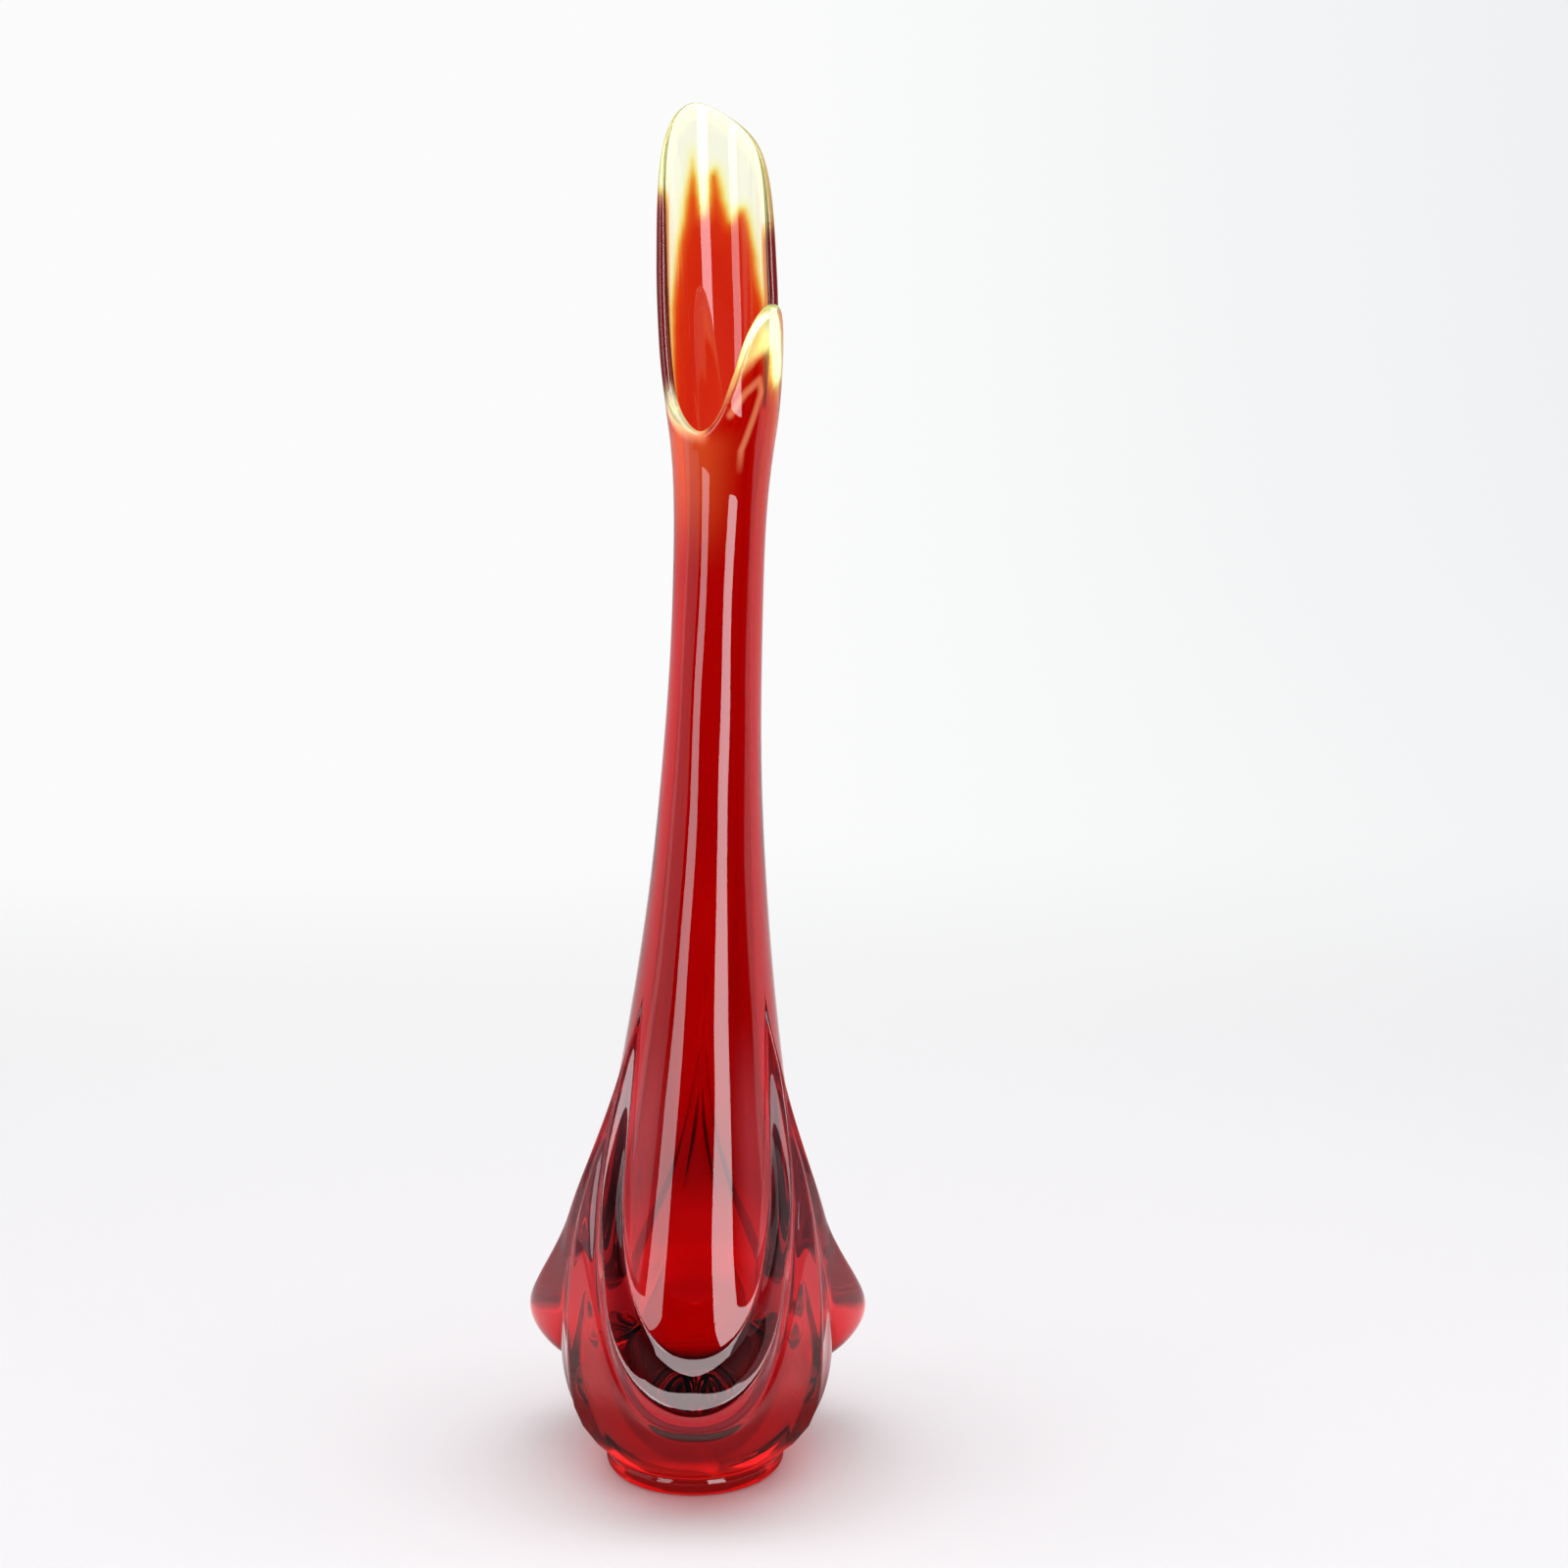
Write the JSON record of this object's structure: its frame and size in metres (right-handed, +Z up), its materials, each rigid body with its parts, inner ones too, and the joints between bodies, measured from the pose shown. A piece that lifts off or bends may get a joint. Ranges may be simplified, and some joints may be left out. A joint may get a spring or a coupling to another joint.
{
  "type": "swung glass vase",
  "caption": "Tall swung glass vase on a pressed foot ring, with a bulb of hanging drapes, a slim leaning neck and a mouth stretched into a short and a tall petal.",
  "frame": {"origin": "centre of the foot ring, on the face that stands on the table", "axes": "+Z up from foot to mouth; the middle of the first drape, the front petal and the dip in the rim face -Y; +X to the right seen from the front, the way the neck leans"},
  "size_m": [0.1294, 0.1219, 0.5131],
  "materials": {
    "ruby_glass": "clear deep ruby, fire polished",
    "amber_glass": "ruby fading through orange to pale yellow at the rim, fire polished"
  },
  "bodies": {
    "root": {"foot_ring": "ruby_glass", "draped_bulb": "ruby_glass", "neck": "ruby_glass", "mouth": "amber_glass"}
  },
  "joints": []
}
